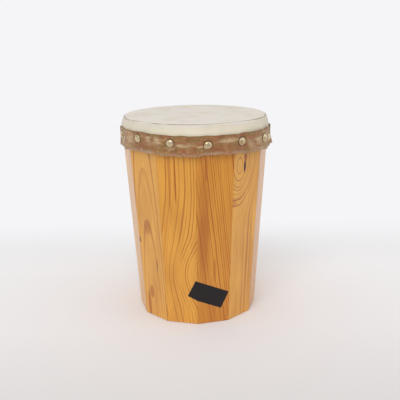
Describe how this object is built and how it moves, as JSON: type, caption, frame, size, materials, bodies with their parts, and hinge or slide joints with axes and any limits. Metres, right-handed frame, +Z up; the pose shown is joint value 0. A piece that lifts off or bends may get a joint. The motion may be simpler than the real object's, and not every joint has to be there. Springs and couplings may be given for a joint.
{
  "type": "hand drum",
  "caption": "Small tapering stave hand drum, open at the foot, with a rawhide head held by a nailed suede band.",
  "frame": {"origin": "middle of the foot, on the surface that the drum stands on", "axes": "+Z up through the middle of the head, -Y towards the front of the picture, +X to its right"},
  "size_m": [0.2139, 0.2146, 0.2808],
  "materials": {
    "pine": "clear satin varnish over flat-sawn softwood",
    "rawhide": "natural, dry and faintly mottled",
    "suede": "brown suede with worn, raised lower edge",
    "brass": "pale, hammered and slightly dented",
    "vinyl": "smooth black label tape, left bare"
  },
  "bodies": {
    "root": {"stave_01": "pine", "stave_02": "pine", "stave_03": "pine", "stave_04": "pine", "stave_05": "pine", "stave_06": "pine", "stave_07": "pine", "stave_08": "pine", "stave_09": "pine", "stave_10": "pine", "stave_11": "pine", "stave_12": "pine", "drumhead": "rawhide", "band": "suede", "label_tape": "vinyl", "nail_01": "brass", "nail_02": "brass", "nail_03": "brass", "nail_04": "brass", "nail_05": "brass", "nail_06": "brass", "nail_07": "brass", "nail_08": "brass", "nail_09": "brass", "nail_10": "brass", "nail_11": "brass", "nail_12": "brass", "nail_13": "brass", "nail_14": "brass"}
  },
  "joints": []
}
